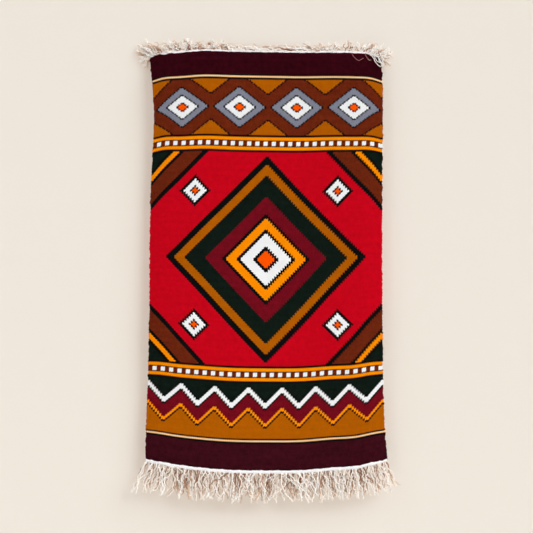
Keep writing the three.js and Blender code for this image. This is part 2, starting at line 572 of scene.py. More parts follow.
class Dye(Enum):
    """The dyed wools, each as the colour it shows in even light."""

    MAROON = colour(57, 12, 22)
    # The top end band's maroon, set darker than the bottom band's.
    DEEP_MAROON = colour(48, 4, 14)
    BLACK = colour(10, 12, 13)
    TAN = colour(255, 206, 150)
    RUST = colour(104, 37, 15)
    CRIMSON = colour(196, 4, 26)
    AMBER = colour(250, 142, 0)
    ORANGE = colour(250, 85, 0)
    WINE = colour(111, 12, 27)
    OCHRE = colour(174, 91, 2)
    GREEN = colour(14, 25, 19)
    WHITE = colour(240, 243, 247)
    SLATE = colour(127, 131, 147)


@dataclass(frozen=True)
class Zone:
    """A stretch of the cloth from one row of weft to another."""

    start: int
    end: int

    def middle(self) -> float:
        """The row in its middle."""
        return (self.start + self.end) / 2


def stepped(value: Term, middle: float, step: float = 2.0) -> Term:
    """How many whole steps a value is from a motif's middle."""
    return (abs(value - middle) / step).floor()


@dataclass(frozen=True)
class WoolPattern:
    """The wool's woven colours: end bands, stripes and a field of stepped geometric motifs.

    Each motif has a list of steps from its middle, or from its top, and the dye that starts there.
    Widths are in ribs, and heights in rows of weft. The teeth are rows of a group of stripes.
    """

    shader: Shader
    rib: Term
    row: Term
    lozenges: Zone = Zone(25, 79)
    lozenge_width: int = 56
    lozenge_step: float = 1.5
    upper_stripes: Zone = Zone(78, 94)
    medallion: Zone = Zone(94, 293)
    corner_lozenge: tuple[int, int] = (34, 31)
    corner_size: float = 7.5
    lower_stripes: Zone = Zone(293, 309)
    teeth: Zone = Zone(6, 10)
    tooth_width: int = 4
    chevrons: Zone = Zone(309, 361)
    chevron_width: int = 32
    end_stripes: tuple[float, float] = (23.75, 362.75)
    stripe_half: float = 0.75
    black_half: float = 2.5
    half_row: float = 0.5

    STRIPES = (
        (0, Dye.BLACK), (2, Dye.AMBER), (5, Dye.BLACK), (6, Dye.WHITE), (10, Dye.BLACK),
        (11, Dye.AMBER), (14, Dye.BLACK),
    )
    LOZENGE = (
        (0, Dye.ORANGE), (2, Dye.BLACK), (3, Dye.WHITE), (7, Dye.BLACK), (8, Dye.SLATE),
        (12, Dye.BLACK), (13, Dye.RUST), (21, Dye.BLACK), (22, Dye.OCHRE),
    )
    MEDALLION = (
        (0, Dye.ORANGE), (4, Dye.BLACK), (6, Dye.WHITE), (12, Dye.BLACK), (14, Dye.AMBER),
        (19, Dye.BLACK), (21, Dye.WINE), (29, Dye.GREEN), (39, Dye.OCHRE), (44, Dye.BLACK),
        (48, Dye.CRIMSON), (78, Dye.BLACK), (81, Dye.RUST), (90, Dye.BLACK), (92, Dye.AMBER),
        (95, Dye.BLACK), (97, Dye.GREEN),
    )
    SMALL_LOZENGE = ((0, Dye.ORANGE), (2, Dye.BLACK), (3, Dye.WHITE), (6, Dye.BLACK))
    CHEVRON = (
        (0, Dye.GREEN), (16, Dye.BLACK), (18, Dye.WHITE), (23, Dye.BLACK), (25, Dye.WINE),
        (37, Dye.AMBER), (40, Dye.BLACK), (42, Dye.OCHRE),
    )

    def stripe_group(self, zone: Zone) -> Term:
        """A group of stripes around a row of teeth.

        Args:
            zone: The group's rows.

        Returns:
            The group's colour.
        """
        depth = self.row - zone.start
        stripes = self.shader.steps(depth, self.STRIPES, self.half_row)
        toothed = (self.rib % (2 * self.tooth_width)) < self.tooth_width
        share = toothed * depth.within(self.teeth.start, self.teeth.end)
        return self.shader.mix(share, stripes, Dye.RUST)

    def repeated(self, width: int) -> Term:
        """The steps from the middle of a motif that repeats across the cloth."""
        return stepped((self.rib + 0.5) % width, width / 2)

    def lozenge_band(self) -> Term:
        """A row of stepped lozenges."""
        above = stepped(self.row, self.lozenges.middle(), self.lozenge_step)
        return self.shader.steps(self.repeated(self.lozenge_width) + above, self.LOZENGE)

    def medallion_field(self) -> Term:
        """One great stepped medallion on crimson, with filled corners and four small lozenges."""
        aside = stepped(self.rib + 0.5, FORM.ribs / 2)
        above = stepped(self.row, self.medallion.middle())
        field = self.shader.steps(aside + above, self.MEDALLION)
        small = abs(aside - self.corner_lozenge[0]) + abs(above - self.corner_lozenge[1])
        rings = self.shader.steps(small, self.SMALL_LOZENGE)
        return self.shader.mix(small < self.corner_size, field, rings)

    def chevron_band(self) -> Term:
        """Stepped chevrons, one under the other."""
        depth = self.row - self.chevrons.start + self.repeated(self.chevron_width) * 2
        return self.shader.steps(depth, self.CHEVRON, self.half_row)

    def colours(self) -> Term:
        """The woven colour at the place: maroon ends, the bands, and the tan stripes."""
        mix = self.shader.mix
        # The upper half's end band takes the darker maroon.
        tint = mix(self.row < FORM.rows / 2, Dye.MAROON, Dye.DEEP_MAROON)
        parts = [
            (self.lozenges, self.lozenge_band()),
            (self.medallion, self.medallion_field()),
            (self.chevrons, self.chevron_band()),
            (self.upper_stripes, self.stripe_group(self.upper_stripes)),
            (self.lower_stripes, self.stripe_group(self.lower_stripes)),
        ]
        for zone, part in parts:
            tint = mix(self.row.within(zone.start, zone.end), tint, part)
        for middle in self.end_stripes:
            for half, dye in ((self.black_half, Dye.BLACK), (self.stripe_half, Dye.TAN)):
                tint = mix(self.row.within(middle - half, middle + half), tint, dye)
        return tint


@dataclass(frozen=True)
class Straying:
    """One way in which the wool's colour strays, as a soft noise over the beads, partly painted sheen."""

    change: float
    per_rib: float
    per_bead: float
    layer: float
    detail: float

    def at(self, shader: Shader, rib_place: Term, bead_place: Term) -> Term:
        """How much the wool strays at a place."""
        place = shader.place(rib_place * self.per_rib, bead_place * self.per_bead, self.layer)
        return (shader.noise(place, detail=self.detail) - 0.5) * self.change


@dataclass(frozen=True)
class WoolFinish:
    """The tapestry's face: beads of weft over the ribs, in dyed wool.

    The wool's colour changes from bead to bead, in mottles, in streaks along the warps and in
    batches along the weft: partly its own uneven tone and partly painted sheen, the glints of its
    fibres. The change is divided by a power, the evenness, of how light the dye is, with the least
    lightness added, so that it shows most in the dark dyes, as white glints do.
    """

    bead_change: float = 0.018
    mottles: Straying = Straying(0.056, per_rib=0.2, per_bead=0.2, layer=0.0, detail=1.0)
    streaks: Straying = Straying(0.033, per_rib=0.85, per_bead=0.12, layer=7.0, detail=2.0)
    batches: Straying = Straying(0.046, per_rib=0.02, per_bead=0.35, layer=3.0, detail=2.0)
    least_lightness: float = 0.03
    evenness: float = 0.85
    darkest: float = 0.3
    bead_depth: float = 0.0004
    squareness: int = 4
    crown_share: float = 0.75
    fibre_grain: tuple[float, float] = (1.5, 4)
    roughness: float = 0.95
    specular: float = 0.03

    def material(self) -> Material:
        """Builds the wool's material, which reads the weave's UV map.

        Every second rib's beads sit half a row off its neighbours'.

        Returns:
            The material.
        """
        shader = Shader("wool_tapestry")
        across, down = shader.map_place(WEAVE_MAP)
        rib_place = across * FORM.ribs
        rib = rib_place.floor()
        offset = (rib % 2) * 0.5
        bead_place = down * FORM.rows + offset
        bead = bead_place.floor()
        tint = WoolPattern(shader, rib, bead + 0.5 - offset).colours()
        change = (shader.chance(shader.place(rib, bead)) - 0.5) * self.bead_change
        for straying in (self.mottles, self.streaks, self.batches):
            change = change + straying.at(shader, rib_place, bead_place)
        strength = 1 + change * (shader.lightness(tint) + self.least_lightness) ** -self.evenness
        tint = shader.shaded(tint, strength.at_least(self.darkest))
        crown = (1 - rib_place.from_middle() ** 2) * (1 - bead_place.from_middle() ** self.squareness)
        place = shader.place(rib_place * self.fibre_grain[0], bead_place * self.fibre_grain[1])
        height = crown * self.crown_share + shader.noise(place) * (1 - self.crown_share)
        shader.relief(height, self.bead_depth)
        return shader.finish(tint, self.roughness, self.specular)


# ---------------------------------------------------------------- the cloth


@dataclass
class Selvedge:
    """The firm edge where the weft turns back round the outermost warps.

    It swells at each turn of the weft, and stands out in uneven lumps. Where it stands out, the
    cord is fatter.
    """

    side: int
    radius: float = 1.35
    inset: float = 0.8
    swell: float = 0.3
    turn_rows: float = 3.0
    lump: float = 0.4
    lump_rows: float = 2.5
    per_row: int = 2
    fatter: float = 0.6
    thinnest: float = -0.5
    fattest: float = 0.6
    seed: int = 31

    def build(self, drop: float) -> Mesh:
        """Makes the edge as a beaded cord that carries the weave's colours on.

        Args:
            drop: How far down the cord goes.

        Returns:
            The cord, with the weave's UV map.
        """
        rng = np.random.default_rng(self.seed + self.side)
        down = np.linspace(0, drop, FORM.rows * self.per_row)
        passes = down / FORM.drop * FORM.rows
        route = FORM.points(np.full(len(down), float(self.side)), down, FORM.thickness / 2)
        knots = np.arange(0, FORM.rows + 2 * self.lump_rows, self.lump_rows)
        out = curve_through(knots, rng.normal(0, self.lump, len(knots)), passes)
        out += self.swell * np.cos(passes / self.turn_rows * FULL_TURN)
        route[:, 0] += self.side * (out - self.inset)
        radii = self.radius + np.clip(self.fatter * out, self.thinnest, self.fattest)
        edge = 0.5 + self.side * (0.5 - 0.5 / FORM.ribs)
        length = drop / FORM.drop
        return threads("selvedge", route[None], radii[None], WEAVE_MAP, np.array([edge]), length)


@dataclass
class TapestryCloth:
    """The wool web, one thin sheet with a rib for each warp.

    It stops a little inside its selvedges, and goes on under both headings. The upper one
    presses it thinner.
    """

    columns: int = FORM.ribs * 2
    rows: int = 96
    rib_depth: float = 0.16
    cockle: float = 0.45
    trim: float = 1.0
    trim_sharpness: int = 40
    tuck_above: float = 3.4
    pressed: float = 1.1
    tuck_below: float = 2.4

    # Each wave's share, and its two factors: pace across, pace down and start.
    COCKLES = (
        (0.65, (9.1, 0.021, 0), (0, 0.037, 1.3)),
        (0.35, (17.3, -0.047, 0.7), (4.1, 0, 0.4)),
    )

    def build(self, wool: Material) -> Object:
        """Makes the cloth and dresses it.

        Args:
            wool: The wool's material.

        Returns:
            The cloth.
        """
        drop = FORM.drop + self.tuck_below
        slab = Slab(self.columns, self.rows)
        across, front = slab.across, slab.front
        down = slab.downwards * (drop + self.tuck_above) - self.tuck_above
        half_ribs = np.rint((across + 1) / 2 * self.columns)
        relief = np.where(half_ribs % 2 == 1, self.rib_depth, -self.rib_depth)
        lift = np.where(front, FORM.thickness + relief, -relief)
        lift += self.cockles(across, down) - np.where(front & (down < 0), self.pressed, 0)
        trim = 2 * self.trim / FORM.width * np.abs(across) ** self.trim_sharpness
        web = slab.laid(across * (1 - trim), down, lift)
        edges = [Selvedge(side).build(drop) for side in (-1, 1)]
        return dressed("tapestry", joined("tapestry", [web, *edges]), wool)

    def cockles(self, across: Array, down: Array) -> Array:
        """Works out the slight uneven waves of the handwoven surface.

        Args:
            across: Places across the cloth.
            down: Places down the cloth.

        Returns:
            How far the surface stands out there.
        """

        def wave(aside: float, fall: float, start: float) -> Array:
            """A plain wave over the cloth."""
            return np.sin(across * aside + down * fall + start)

        return self.cockle * sum(wave(*one) * wave(*other) * share for share, one, other in self.COCKLES)


# ---------------------------------------------------------------- the headings


@dataclass(frozen=True)
class CottonFinish:
    """Undyed cotton, as woven headings, as loose strands, or as faded tails of weft.

    Its reliefs are depths in metres, and its grains are how fine a noise is. The top heading has
    yellowed more than the bottom one, by `top_age`. On strands the cream and the brown are painted
    shade: a strand of low whiteness is painted brown at its root, and that fades towards its
    tip.
    """

    bleached: tuple = colour(249, 250, 255)
    white: tuple = colour(255, 253, 250)
    # The cream is the headings' yellowed soil, and on strands a half tone of painted shade. The brown is
    # painted shade, for strands in deep shade.
    soil_and_shade_cream: tuple = colour(226, 197, 172)
    shade_brown: tuple = colour(148, 99, 70)
    pick_height: float = 1.9
    soil_grain: tuple[float, float] = (60, 120)
    soil: float = 0.8
    top_age: float = 0.15
    rib_height: float = 0.5
    thread_height: float = 0.3
    fibre_height: float = 0.2
    fibre_grain: tuple[float, float] = (3, 2)
    weave_depth: float = 0.00015
    patch_grain: float = 240.0
    patches: float = 0.2
    # Painted shade on strands: how brown it makes them at the root, and how much of that fades by the tip.
    root_shade: float = 1.3
    tip_shade_fading: float = 0.6
    strand_grain: float = 2600.0
    strand_depth: float = 0.00012
    roughness: float = 0.9
    specular: float = 0.12

    def heading(self) -> Material:
        """Builds the headings' material: close picks of white cotton over the ribs.

        Returns:
            The material, which reads the weave's UV map.
        """
        shader = Shader("cotton_heading")
        across, down = shader.map_place(WEAVE_MAP)
        rib_place = across * FORM.ribs
        pick_place = down * FORM.drop / self.pick_height
        soil = shader.noise(shader.place(across * self.soil_grain[0], down * self.soil_grain[1]))
        yellowed = (soil - 0.5) * self.soil + (1 - down) * self.top_age
        tint = shader.mix(yellowed.clipped(), self.bleached, self.soil_and_shade_cream)
        threads = (1 - rib_place.from_middle() ** 2) * self.rib_height
        threads += (1 - pick_place.from_middle() ** 2) * self.thread_height
        place = shader.place(rib_place * self.fibre_grain[0], pick_place * self.fibre_grain[1])
        shader.relief(threads + shader.noise(place) * self.fibre_height, self.weave_depth)
        return shader.finish(tint, self.roughness, self.specular)

    def strands(self, name: str) -> Material:
        """Builds a material for strands: white ones, and ones painted brown as shade, palest at the tips.

        Args:
            name: The material's name.

        Returns:
            The material, which reads the strands' UV map.
        """
        shader = Shader(name)
        white, along = shader.map_place(STRAND_MAP)
        place = shader.result("ShaderNodeTexCoord", output="Object")
        patches = shader.noise(place, self.patch_grain, 2.0)
        # Painted shade: the less white a strand is, the browner it is painted, most near its root.
        shade_amount = (1 - white) * (self.root_shade - along * self.tip_shade_fading) + (patches - 0.5) * self.patches
        shade_toned = shader.mix((shade_amount * 2).clipped(), self.white, self.soil_and_shade_cream)
        tint = shader.mix((shade_amount * 2 - 1).clipped(), shade_toned, self.shade_brown)
        shader.relief(shader.noise(place, self.strand_grain), self.strand_depth)
        return shader.finish(tint, self.roughness, self.specular)


@dataclass
class Heading:
    """A white cotton strip woven on at an end of the wool.

    Its inner edge lies over the wool's last picks and steps with the ribs. Its outer edge
    wavers, and the strip is narrower towards the corners by `narrowing`. `left_swell` makes it
    broader towards the left corner, and `knots` is the share of the table of knots that it has.
    """

    name: str
    inner: float
    outer: float
    thickness: float = 3.0
    rows: int = 8
    per_rib: int = 4
    rib_depth: float = 0.2
    step: float = 0.45
    waver: float = 0.5
    inner_start: float = 1.0
    outer_start: float = 2.3
    narrowing: float = 0.25
    left_swell: float = 0.0
    knots: float = 0.0
    edge_thinning: float = 0.75
    waver_inside: float = 0.6
    waver_at_ends: float = 1.6

    # The powers by which effects close in on the corners or on an edge.
    NARROWING_POWER = 10
    SWELL_POWER = 6
    WAVER_POWER = 12
    EDGE_POWER = 3
    THINNING_POWER = 5

    # Each wave of an edge: its share, its pace across, and its share of the start.
    WAVERS = ((1, 41, 1), (0.8, 97, 2), (0.6, 173, -1))
    KNOTS = table(
        "across down",
        (-1, 0), (-0.975, 0), (-0.955, -2.2), (-0.92, -3.2), (-0.9, -1.5), (-0.875, 2),
        (-0.84, -0.3), (-0.81, -0.6), (-0.78, 0), (-0.75, 0), (-0.7, 0), (1, 0),
    )

    def build(self, cotton: Material) -> Object:
        """Makes the heading and dresses it.

        Args:
            cotton: The heading's material.

        Returns:
            The heading.
        """
        slab = Slab(FORM.ribs * self.per_rib, self.rows)
        across = slab.across
        outwards = slab.downwards if self.outer > self.inner else 1 - slab.downwards
        share = 1 - self.narrowing * np.abs(across) ** self.NARROWING_POWER
        share += self.left_swell * np.clip(-across, 0, 1) ** self.SWELL_POWER
        rib = (across + 1) / 2 * FORM.ribs
        knots = self.knots * read(self.KNOTS, "down", across)
        inner_edge = self.step * np.cos(rib * math.pi) + self.wavering(across, self.inner_start)
        inner_edge += np.maximum(knots, 0)
        outer_edge = self.wavering(across, self.outer_start)
        down = self.inner + (self.outer - self.inner) * share * outwards + np.minimum(knots, 0)
        down += inner_edge * (1 - outwards) ** self.EDGE_POWER + outer_edge * outwards**self.EDGE_POWER
        full = np.sqrt(1 - self.edge_thinning * outwards**self.THINNING_POWER)
        half = self.thickness / 2 * full - self.rib_depth * np.cos(rib * FULL_TURN)
        lift = FORM.thickness / 2 + np.where(slab.front, half, -half)
        return dressed(self.name, slab.laid(across, down, lift), cotton)

    def wavering(self, across: Array, start: float) -> Array:
        """How far an edge of the strip strays, more near its ends.

        Args:
            across: Places across the cloth.
            start: Where the edge's waves start, in radians.

        Returns:
            The edge's move down.
        """
        waves = sum(size * np.sin(across * pace + start * turn) for size, pace, turn in self.WAVERS)
        ends = self.waver_at_ends * np.abs(across) ** self.WAVER_POWER
        return self.waver * waves * (self.waver_inside + ends)


# ---------------------------------------------------------------- the fringes


def walk(aside: Array, depth: Array, length: Array, rise: int = 1) -> Array:
    """Walks strands along from the angles that they have at each step.

    Args:
        aside: The sideways angles from straight up or down, in radians, as strands by steps.
        depth: The angles backwards, likewise.
        length: Each strand's length.
        rise: 1 for strands that go up and -1 for ones that go down.

    Returns:
        The points from each strand's root, as strands by steps by three.
    """
    stride = length[:, None] / (aside.shape[1] - 1)
    flat = np.cos(depth) * stride
    moves = [np.sin(aside) * flat, np.sin(depth) * stride, rise * np.cos(aside) * flat]
    path = np.cumsum(np.stack(moves, axis=2), axis=1)
    return path - path[:, :1]


@dataclass(frozen=True)
class Yarn:
    """A plied cotton yarn, from 0 for painted brown shade to 1 for white.

    A share of its strands is painted brown as lines of shade between the white ones, and each ply
    is painted darker than the one before it, as a shaded side. The plies open by `fray` over the
    last of their length, and a strand's tip is thinner than its root.
    """

    ply_radius: float = 0.6
    white: float = 1.0
    shade_lines: float = 0.0
    ply_shade: float = 0.1
    plies: int = 2
    turn: float = 8.0
    apart: float = 0.9
    fray: float = 2.4
    frayed_share: float = 0.14
    unevenness: float = 0.1
    shade_line_whites: tuple[float, float] = (0.05, 0.4)
    sizes: tuple[float, float] = (0.68, 1.15)
    tip_thinning: float = 0.35
    thinning_power: int = 6

    # Plies are laid out from a way that no strand takes.
    WAY_OFF = (0.12, 1.0, 0.07)

    def wound(self, routes: Array, size: Array, turned: Array) -> Array:
        """Winds the plies round their strands.

        Args:
            routes: Each strand's points, as strands by steps by three.
            size: Each strand's share of the full thickness.
            turned: Each strand's first turn, in radians.

        Returns:
            The plies' points, as plies by steps by three.
        """
        along = np.gradient(routes, axis=1)
        step = np.linalg.norm(along, axis=2, keepdims=True)
        along = along / step
        aside = np.cross(along, np.array(self.WAY_OFF))
        aside /= np.linalg.norm(aside, axis=2, keepdims=True)
        behind = np.cross(along, aside)
        walked = np.cumsum(step[..., 0], axis=1)
        share = np.linspace(0, 1, routes.shape[1])
        frayed = np.clip((share - (1 - self.frayed_share)) / self.frayed_share, 0, 1)
        apart = self.apart if self.plies > 1 else 0.0
        out = (self.ply_radius * apart * size[:, None] * (1 + self.fray * frayed**2))[..., None]
        plies = []
        for ply in range(self.plies):
            angle = (walked / self.turn + ply / self.plies) * FULL_TURN + turned[:, None]
            angle = angle[..., None]
            plies.append(routes + out * (np.cos(angle) * aside + np.sin(angle) * behind))
        return np.concatenate(plies)

    def spun(
        self, name: str, routes: Array, paler: "Array | float", rng: Chance, cotton: Material
    ) -> Object:
        """Spins strands along routes, with a UV map of their whiteness and the share along them.

        Args:
            name: The piece's name.
            routes: Each strand's points, as strands by steps by three.
            paler: How much whiter each strand is painted than the yarn, as painted light, and below 0 as
                painted shade.
            rng: The source of chance.
            cotton: The strands' material.

        Returns:
            The piece.
        """
        count, steps = routes.shape[:2]
        # Painted shade lines: a share of the strands is painted brown, as shade between the white ones.
        shade_lines = rng.random(count) < self.shade_lines
        own = np.clip(self.white + rng.normal(0, self.unevenness, count), 0, 1)
        whiteness = np.where(shade_lines, rng.uniform(*self.shade_line_whites, count), own)
        # Painted light: strands are made whiter by place, and darker where the value is below 0.
        whiteness = np.clip(whiteness + paler, 0, 1)
        size = rng.uniform(*self.sizes, count)
        plies = self.wound(routes, size, rng.uniform(0, FULL_TURN, count))
        thin = 1 - self.tip_thinning * np.linspace(0, 1, steps) ** self.thinning_power
        radii = np.tile(self.ply_radius * size[:, None] * thin, (self.plies, 1))
        # Painted shade: each ply after the first is darker, as the strand's shaded side.
        ply_shading = np.repeat(np.arange(self.plies), count) * self.ply_shade
        shades = np.clip(np.tile(whiteness, self.plies) - ply_shading, 0, 1)
        return dressed(name, threads(name, plies, radii, STRAND_MAP, shades), cotton)


@dataclass(frozen=True)
class Curl:
    """How strands bend along their length, in degrees and millimetres.

    Strands leave their root in pairs, and the two of a pair open and close like tongs. Each
    bends slowly, has a closer crimp left by the weave, and swings in depth. No pair leans
    more than `limit` times the usual scatter. Each range is the least and the most of a thing
    that chance gives to a strand or a pair.
    """

    bend: float
    bend_length: float
    crimp: float
    crimp_length: float
    depth_bend: float
    limit: float
    size_range: tuple[float, float] = (0.35, 1.2)
    length_range: tuple[float, float] = (0.7, 1.4)
    opening_range: tuple[float, float] = (0.2, 1.5)
    closing_range: tuple[float, float] = (0.6, 1.7)
    lean_freedom: int = 3
    own_share: float = 0.6
    depth_pace: float = 0.8

    def angles(
        self, rng: Chance, walked: Array, scatter: Array, opening: Array, looseness: Array
    ) -> tuple[Array, Array]:
        """Each strand's sideways and depth angles at each step, in radians, about its own way.

        Args:
            rng: The source of chance.
            walked: The length walked at each step, as strands by steps.
            scatter: The usual sideways lean of each strand, in degrees.
            opening: How far each strand parts from the other of its pair, in degrees.
            looseness: The share of the bends and crimp that each strand has.

        Returns:
            The sideways angles and the depth angles.
        """
        count = len(walked)
        pairs = (count + 1) // 2
        share = walked / walked[:, -1:]

        def of_pairs(values: Array) -> Array:
            """Gives both strands of a pair the same value."""
            return np.repeat(values, 2, axis=0)[:count]

        def swing(size: float, wave: float, shared: bool = False) -> Array:
            """Makes a wave along each strand, with a size, length and start of its own.

            Args:
                size: Its usual size, in degrees.
                wave: Its usual length.
                shared: Whether the two strands of a pair have the same one.

            Returns:
                The wave's angles at each step, in radians.
            """
            rows = pairs if shared else count
            draws = [
                rng.uniform(*self.size_range, (rows, 1)) * np.radians(size),
                rng.uniform(*self.length_range, (rows, 1)) * wave,
                rng.uniform(0, FULL_TURN, (rows, 1)),
            ]
            sizes, waves, starts = [of_pairs(draw) if shared else draw for draw in draws]
            return looseness[:, None] * sizes * np.sin(walked / waves * FULL_TURN + starts)

        lean = np.clip(rng.standard_t(self.lean_freedom, (pairs, 1)), -self.limit, self.limit)
        side = np.where(np.arange(count) % 2 == 0, 1.0, -1.0)[:, None]
        tongs = of_pairs(rng.uniform(*self.opening_range, (pairs, 1))) * np.radians(opening)[:, None]
        closing = of_pairs(rng.uniform(*self.closing_range, (pairs, 1)))
        aside = of_pairs(lean) * np.radians(scatter)[:, None]
        aside = aside + side * tongs * np.cos(share * math.pi * closing)
        aside += swing(self.bend, self.bend_length, shared=True)
        aside += swing(self.bend * self.own_share, self.bend_length * self.own_share)
        aside += swing(self.crimp, self.crimp_length)
        depth = swing(self.depth_bend, self.bend_length * self.depth_pace)
        return aside, depth + swing(self.crimp, self.crimp_length)


@dataclass
class StrandPiece:
    """A piece made of strands, which stands for a fringe's node."""

    name: str
    yarn: Yarn
    seed: int
    node: str = "fringe_top"

    def build(self, cotton: Material) -> Object:
        """Makes the piece and dresses it in the strands' material."""
        self.rng = np.random.default_rng(self.seed)
        return self.yarn.spun(self.name, *self.strand_routes(), self.rng, cotton)

    def strand_routes(self) -> "tuple[Array, Array | float]":
        """Each strand's points, as strands by steps by three, and how much whiter than its yarn it is
        painted, as light.
        """
        raise NotImplementedError


@dataclass(kw_only=True)
class Fringe(StrandPiece):
    """A layer of the warp ends past a heading: strands that lean, bend, cross and gather in tufts.

    `layer` is how far in front of the cloth's back its roots are, as a share of the cloth's
    thickness. `set_back` is how far it goes back behind them, and `farthest` is as far up or
    down as any strand reaches from its root.
    """

    root_down: float
    upwards: bool
    locks: dict[str, Array]
    curl: Curl
    layer: float
    farthest: float
    strands: int = 112
    steps: int = 44
    reach: float = 1.0
    root_spread: float = 1.5
    spot_range: tuple[float, float] = (0.1, 0.9)
    pair_spread: float = 0.0035
    outermost: float = 0.996
    stiff_length: float = 4.0
    set_back: float = 0.0
    set_back_length: float = 10.0
    unevenness: float = 0.05
    tuft_pitch: float = 19.0
    tuft_range: tuple[float, float] = (0.15, 0.85)
    tuft_mixing: float = 5.0
    tuft_pull: float = 0.0
    pull_range: tuple[float, float] = (0.3, 1.1)
    tuft_start: float = 0.75
    splay: float = 3.0
    splay_power: float = 1.5

    def strand_routes(self) -> tuple[Array, Array]:
        """Works out the strands.

        Returns:
            Their points, and how much paler than the yarn each is.
        """
        pairs = self.strands // 2
        spots = (np.arange(pairs) + self.rng.uniform(*self.spot_range, pairs)) / pairs
        across = np.repeat(spots * 2 - 1, 2) + self.rng.normal(0, self.pair_spread, pairs * 2)
        across = np.clip(across, -self.outermost, self.outermost)
        count = len(across)
        lock = {column: read(self.locks, column, across) for column in self.locks}
        rise = 1 if self.upwards else -1
        down = self.root_down + rise * self.rng.uniform(0, 1, count) * self.root_spread
        roots = FORM.points(across, down, FORM.thickness * self.layer)
        length = lock["length"] * self.reach * (1 + self.unevenness * self.rng.normal(0, 1, count))
        share = np.linspace(0, 1, self.steps)
        walked = share * length[:, None]
        turns = [lock[column] for column in ("scatter", "opening", "looseness")]
        aside, depth = self.curl.angles(self.rng, walked, *turns)
        ramp = 1 - np.exp(-walked / self.stiff_length)
        path = walk(np.radians(lock["lean"])[:, None] + aside * ramp, depth * ramp, length, rise)
        path[..., 1] += share * lock["back"][:, None]
        path *= np.minimum(1, self.farthest / np.abs(path[:, -1, 2]))[:, None, None]
        path[..., 1] += self.set_back * (1 - np.exp(-walked / self.set_back_length))
        if self.tuft_pull:
            path[..., 0] += self.gathered(roots[:, 0] + path[:, -1, 0], share)
        return roots[:, None, :] + path, lock["paler"]

    def gathered(self, ends: Array, share: Array) -> Array:
        """Works out how strands move sideways to join tufts, whose tips splay again.

        Args:
            ends: Where each strand would end by itself.
            share: The share of the way along.

        Returns:
            The moves, as strands by steps.
        """
        low, high = ends.min(), ends.max()
        number = int((high - low) / self.tuft_pitch)
        spots = (np.arange(number) + self.rng.uniform(*self.tuft_range, number)) / number
        tufts = low + spots * (high - low)
        strayed = ends + self.rng.normal(0, self.tuft_mixing, len(ends))
        chosen = np.abs(strayed[:, None] - tufts).argmin(axis=1)
        keen = self.tuft_pull * self.rng.uniform(*self.pull_range, len(ends))
        joining = np.clip(share / self.tuft_start, 0, 1)
        joining = joining**2 * (3 - 2 * joining)
        parting = np.clip((share - self.tuft_start) / (1 - self.tuft_start), 0, 1) ** self.splay_power
        splayed = self.rng.normal(0, self.splay, len(ends))
        return ((tufts[chosen] - ends) * keen)[:, None] * joining + splayed[:, None] * parting


# In each table of locks the last column is painted light: it paints strands whiter, and below 0 darker,
# place by place, to offset how the lamps light them there.
TOP_LOCKS = table(
    "across length lean scatter opening looseness back paler",
    (-1, 29, -78, 9, 8, 0.8, 1, 0.1),
    (-0.94, 33, -60, 13, 10, 0.9, 1, 0.1),
    (-0.86, 30, -46, 16, 20, 1, 1, 0.05),
    (-0.7, 27, -48, 20, 28, 1.15, 1.5, 0),
    (-0.45, 25, -50, 20, 30, 1.15, 2, 0),
    (-0.33, 24, -56, 17, 24, 1, 2, 0),
    (-0.2, 21, -72, 10, 18, 0.6, 2, 0),
    (0, 21, -78, 8, 18, 0.4, 2, 0),
    (0.25, 21, -78, 8, 18, 0.4, 2, 0),
    (0.42, 20, -70, 12, 22, 0.5, 2, 0.08),
    (0.56, 18, -52, 20, 28, 0.8, 2, 0.2),
    (0.68, 17, 12, 24, 30, 0.9, 2, 0.2),
    (0.8, 21, 52, 18, 24, 0.9, 1.5, 0.08),
    (0.92, 25, 62, 12, 16, 0.8, 1, 0),
    (1, 27, 78, 10, 10, 0.8, 1, 0),
)
BOTTOM_LOCKS = table(
    "across length lean scatter opening looseness back paler",
    (-1, 74, -29, 9, 16, 1.1, 4, 0.1),
    (-0.88, 73, -20, 11, 20, 1.1, 3, 0.07),
    (-0.7, 71, -8, 13, 24, 1, 2, 0),
    (0, 69, 0, 13, 26, 1, 1, 0),
    (0.7, 70, 6, 13, 24, 1, 2, -0.04),
    (0.88, 70, 15, 9, 20, 1, 3, -0.1),
    (0.95, 70, 19, 7, 16, 1, 4, -0.1),
    (1, 68, 20, 6, 12, 1, 4, 0.2),
)
CORNER_LOCKS = table(
    "across lean length paler",
    (-0.92, -52, 54, 0), (-0.94, -57, 52, 0), (-0.965, -66, 46, 0.1), (-0.985, -77, 37, 0.1),
    (-1, -96, 29, 0.2), (-1, -114, 29, 0.4), (-1, -134, 31, 0.5), (-1, -150, 30, 0.5),
    (0.955, 48, 36, 0), (0.975, 58, 38, 0), (1, 72, 33, 0), (1, 94, 29, 0),
    (1, 118, 28, 0), (1, 138, 28, 0), (0.99, 154, 27, 0),
)


